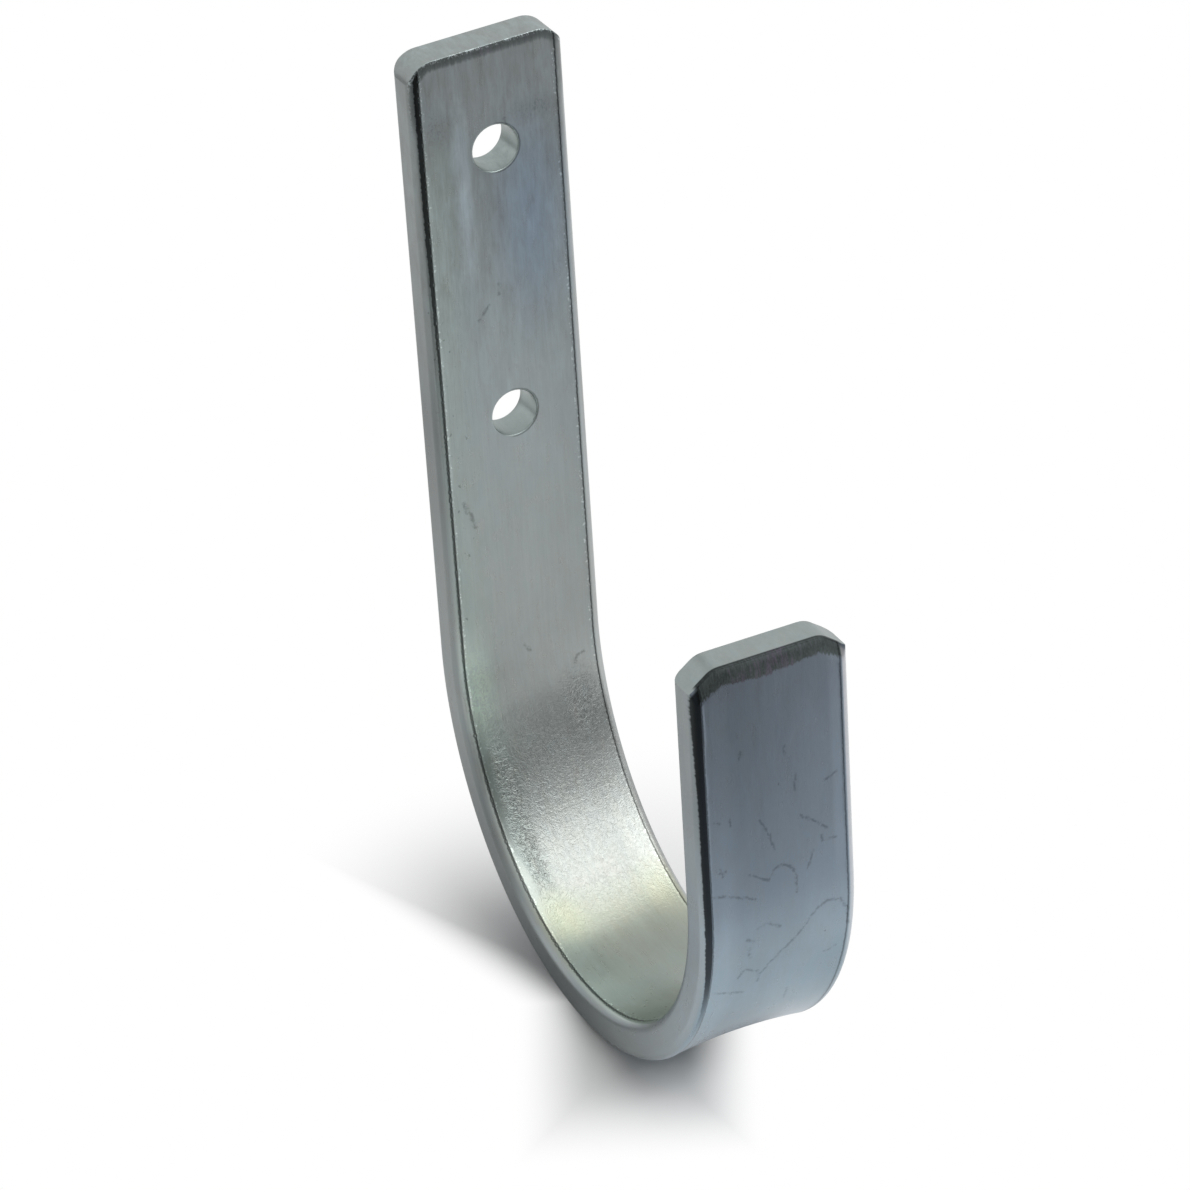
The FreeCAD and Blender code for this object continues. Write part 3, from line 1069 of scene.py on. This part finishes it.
def zinc_plate(name):
    """Bright zinc plate with a thin blue passivate over rolled flat bar, with painted light and shade in
    its colour.
    """
    material = bpy.data.materials.new(name)
    shader = start_nodes(material)["Principled BSDF"]
    bar = Bar()
    patterns = Patterns(bar)
    lane, corner, beads = beading(bar, patterns)
    scuffs = die_scuffs(bar, patterns)
    tip_edge_shade, shank_edge_shade = painted_edge_shade(bar, patterns)

    colour = clean_plate(bar, patterns, lane, corner)
    colour = with_bores(colour, bar, patterns, tone(bar, patterns, beads))
    colour = with_scuffs(colour, bar, patterns, scuffs)
    colour = with_crease_shade_and_edge_highlight(colour, bar, patterns)
    # Painted shade down the left edges of the tip and the shank
    edge_shade = high(tip_edge_shade * 0.86, shank_edge_shade * ease(bar.along, -78.0, -30.0, 0.85, 0.66))
    colour = scaled(colour, 1.0 - edge_shade)
    colour = scaled(colour, 1.0 - scratches(bar, patterns))
    # Cut ends are a little mottled, with the shear's lines through the bar
    colour = scaled(colour, 1.0 + patterns.shear * bar.ends * 0.05)

    roughness = 0.285 + patterns.streaks * 0.015 + patterns.clouds * 0.02 + bar.ends * 0.12
    roughness = roughness + scuffs * 0.16 + beads * 0.05 + high(tip_edge_shade, shank_edge_shade) * 0.12

    names = ("Metallic", "Base Color", "Roughness", "Normal")
    values = (1.0, colour, roughness, bump(bar, patterns, beads))
    feed([shader.inputs[n] for n in names], values)
    return material


# Stage, camera and light


def direction(azimuth, elevation):
    """Unit vector: azimuth in degrees from +Y towards +X, elevation above the floor."""
    a, e = math.radians(azimuth), math.radians(elevation)
    return Vector((math.sin(a) * math.cos(e), math.cos(a) * math.cos(e), math.sin(e)))


def camera_axes():
    """The directions to the camera's right, up in its picture and back from it."""
    forward = direction(CAMERA_AZIMUTH, CAMERA_ELEVATION)
    level = direction(CAMERA_AZIMUTH + 90, 0)
    upright = level.cross(forward)
    roll = math.radians(CAMERA_ROLL)
    right = level * math.cos(roll) + upright * math.sin(roll)
    up = upright * math.cos(roll) - level * math.sin(roll)
    return right, up, right.cross(up)


def added(name, data):
    """A new object in the scene."""
    obj = bpy.data.objects.new(name, data)
    bpy.context.scene.collection.objects.link(obj)
    return obj


def plane(name, width, height):
    """A level square about the frame's vertical axis, as part of the stage."""
    mesh = bpy.data.meshes.new(name)
    w = width / 2
    mesh.from_pydata([(-w, -w, 0), (w, -w, 0), (w, w, 0), (-w, w, 0)], [], [(0, 1, 2, 3)])
    obj = added(name, mesh)
    obj.location.z = height
    return obj


def ray_kinds():
    """1 for camera rays, and 1 for rays that a gloss or a clear surface sends out."""
    path = tree.nodes.new("ShaderNodeLightPath")
    names = ("Is Camera Ray", "Is Glossy Ray", "Is Transmission Ray")
    camera, glossy, through = [Value(path.outputs[n]) for n in names]
    return camera, high(glossy, through)


def white_share(x, y, away):
    """How far the floor goes to white. Its shadow ends close to the hook's foot on the
    camera's side, and spreads to the left behind it."""
    across = camera_axes()[0]
    right = x * across.x + y * across.y
    behind = y * across.x - x * across.y
    left = -right - high(behind, 0.0) * WHITE_LEFT_SPREAD
    share = high(ease(away, WHITE_NEAR, WHITE_FAR), ease(right, WHITE_RIGHT_NEAR, WHITE_RIGHT_FAR))
    share = high(share, ease(left, WHITE_LEFT_NEAR, WHITE_LEFT_FAR))
    return high(share, ease(-behind, WHITE_FRONT_NEAR, WHITE_FRONT_FAR))


def floor_in_metal(x, y, away):
    """How light the metal sees the floor, in painted shade that only reflections show:
    darker away from the hook, most of all on the camera's side, where the room is dark,
    and a painted shadow beneath the bend."""
    in_front = ease(-y / away, -0.2, 0.5)
    fall = 1.0 - in_front * ease(away, 110.0, 360.0, 0.0, 0.42)
    # Angle from the middle of the dark side, a little left of straight to the front
    aside = calc("ARCTAN2", x + away * DARK_LEFT, -y)
    dark = ease(away, *DARK_NEAR) * ease(away, *DARK_FAR)
    dark = dark * ease(size(aside), DARK_HALF + DARK_SOFT, DARK_HALF - DARK_SOFT)
    # Painted shadow beneath the bend, seen only in reflections
    painted_shadow_below = blot(x, y, at=(-22.0, 16.0), reach=(38.0, 34.0))
    return fall * (1.0 - dark * DARK_DEPTH) * (1.0 - painted_shadow_below * 0.6)


def pale_floor(height):
    """Plain pale floor that keeps the shadow near the hook, and glows white for the camera further out,
    which trims the shadow's borders.
    """
    floor = plane("floor", FLOOR_SIZE, height)
    material = bpy.data.materials.new("pale_floor")
    shader = start_nodes(material)["Principled BSDF"]
    camera, gloss = ray_kinds()
    x, y, _ = [v / MM for v in coordinates("Object")]
    y = y - BEND_CENTRE_Y
    away = hypot(x, y)
    # Painted white glow for the camera, by place round the hook's foot
    lift = white_share(x, y, away) * camera
    pale = FLOOR_PALE * (1.0 - lift) * (1.0 - gloss) + gloss * floor_in_metal(x, y, away)
    # The metal sees a faint painted glow from the floor, brighter right of the hook and
    # behind it, and lifting the shadow in front of the bend
    glow = 0.03 + ease(x, 20.0, 120.0, 0.0, 0.2) + ease(y, 40.0, 240.0, 0.0, 0.05)
    glow = glow + blot(x, y, at=(2.0, -26.0), reach=(36.0, 26.0), peak=0.12)
    inputs = {
        "Base Color": vector(pale, pale, pale),
        "Roughness": 0.9,
        "Specular IOR Level": 0.0,
        "Emission Color": (1, 1, 1, 1),
        "Emission Strength": lift + gloss * glow,
    }
    feed([shader.inputs[n] for n in inputs], inputs.values())
    material.cycles.emission_sampling = "NONE"
    floor.data.materials.append(material)


def white_world():
    """World that is white to the eye and in reflections, but for the dark room in front."""
    world = bpy.data.worlds.new("studio")
    bpy.context.scene.world = world
    background = start_nodes(world)["Background"]
    camera, gloss = ray_kinds()
    x, y, z = coordinates("Generated")
    room = direction(ROOM_AZIMUTH, 0.0)
    front = ease(x * room.x + y * room.y, 0.2, 0.7)
    low_down = ease(z, 0.42, 0.2) * ease(z, -0.12, 0.16, 0.7, 1.0)
    seen = 1.0 - front * low_down * ROOM_DEPTH
    strength = high(camera, WORLD_LIGHT + gloss * (seen - WORLD_LIGHT))
    feed([background.inputs[n] for n in ("Color", "Strength")], ((1, 1, 1, 1), strength))


def softbox(name, azimuth, elevation, distance, width, radiance):
    """Square soft light of a plain radiance, turned to the hook."""
    lamp = bpy.data.lights.new(name, "AREA")
    lamp.shape = "SQUARE"
    lamp.size = width
    lamp.energy = radiance * math.pi * width * width
    obj = added(name, lamp)
    towards = direction(azimuth, elevation)
    obj.location = LAMP_TARGET + towards * distance
    obj.rotation_euler = towards.to_track_quat("Z", "Y").to_euler()
    return obj


def photo_camera():
    """Camera fitted to the photo together with the hook's size."""
    data = bpy.data.cameras.new("camera")
    data.sensor_width = SENSOR_WIDTH
    data.lens = FOCAL_PIXELS * SENSOR_WIDTH / PHOTO_PIXELS
    obj = added("camera", data)
    obj.matrix_world = Matrix(camera_axes()).transposed().to_4x4()
    obj.matrix_world.translation = CAMERA_PLACE
    bpy.context.scene.camera = obj


hook = added("hook_plated", hook_mesh("hook_plated"))
hook.data.materials.append(zinc_plate("zinc_plated_steel"))
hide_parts("hook")
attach(hook, "root")

lowest = min(corner[2] for corner in hook.bound_box)
pale_floor(lowest - FLOOR_GAP)
white_world()
softbox("key", azimuth=119, elevation=63, distance=0.8, width=0.74, radiance=2.1)
shadow_key = softbox("key_shadow", azimuth=165, elevation=45, distance=0.9, width=0.35, radiance=8.5)
# This lamp only draws the shadow: the metal doesn't mirror it
shadow_key.visible_glossy = False
photo_camera()

bpy.context.scene.view_settings.view_transform = "Standard"

bpy.context.view_layer.update()
